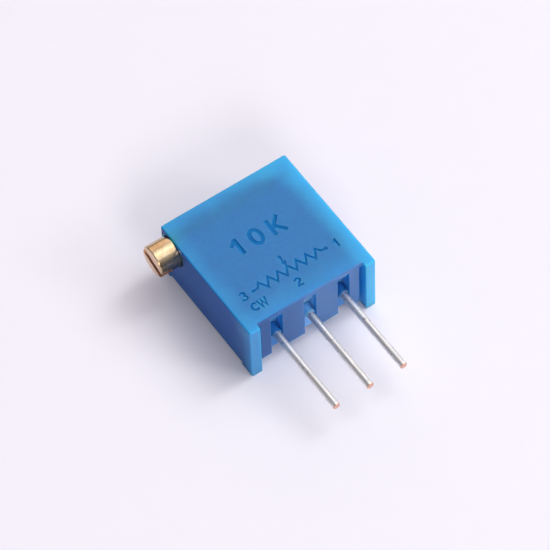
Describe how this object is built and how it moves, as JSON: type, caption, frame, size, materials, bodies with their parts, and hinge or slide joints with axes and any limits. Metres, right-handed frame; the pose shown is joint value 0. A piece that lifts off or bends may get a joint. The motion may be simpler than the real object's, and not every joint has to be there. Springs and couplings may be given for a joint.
{
  "type": "trimmer potentiometer",
  "caption": "Square multi-turn trimmer potentiometer with a side adjustment screw that turns a worm-driven wiper, and a row of round leads.",
  "frame": {"origin": "on the middle lead's axis, in the plane of the leg ends (the seating plane)", "axes": "+X along the row of leads, away from the screw's head; the leads leave along -Y; +Z comes out of the marked face, so the part lies on its back"},
  "size_m": [0.0111, 0.0161, 0.0048],
  "materials": {
    "blue_thermoplastic": "satin",
    "turned_brass": "turned",
    "silicone_rubber": "matt",
    "spring_steel": "stamped",
    "natural_nylon": "moulded",
    "contact_alloy": "stamped",
    "alumina": "fired",
    "cermet_ink": "fired",
    "silver_ink": "fired",
    "tinned_wire": "tinned",
    "solder": "reflowed",
    "potting_resin": "cast"
  },
  "bodies": {
    "case": {"housing": "blue_thermoplastic", "screw_retainer": "spring_steel", "ceramic_substrate": "alumina", "resistive_track": "cermet_ink", "collector_film": "silver_ink", "end_film_1": "silver_ink", "end_film_3": "silver_ink", "terminal_pin_1": "tinned_wire", "terminal_pin_2": "tinned_wire", "terminal_pin_3": "tinned_wire", "solder_joint_1": "solder", "solder_joint_2": "solder", "solder_joint_3": "solder", "back_seal": "potting_resin"},
    "screw": {"adjustment_screw": "turned_brass", "shaft_seal": "silicone_rubber"},
    "rotor": {"worm_wheel": "natural_nylon", "wiper_contact": "contact_alloy"}
  },
  "joints": [
    {"name": "screw_turn", "type": "hinge", "parent": "case", "child": "screw", "pos_m": [0, 0.00876, 0.00114], "axis": [1, 0, 0], "range_deg": [-4500, 4500]},
    {"name": "wheel_turn", "type": "hinge", "parent": "case", "child": "rotor", "pos_m": [0, 0.00496, 0.00114], "axis": [0, 0, 1], "range_deg": [-140.62, 140.62]}
  ],
  "couplings": [
    {"joint": "wheel_turn", "follows": "screw_turn", "ratio": 0.03125}
  ]
}
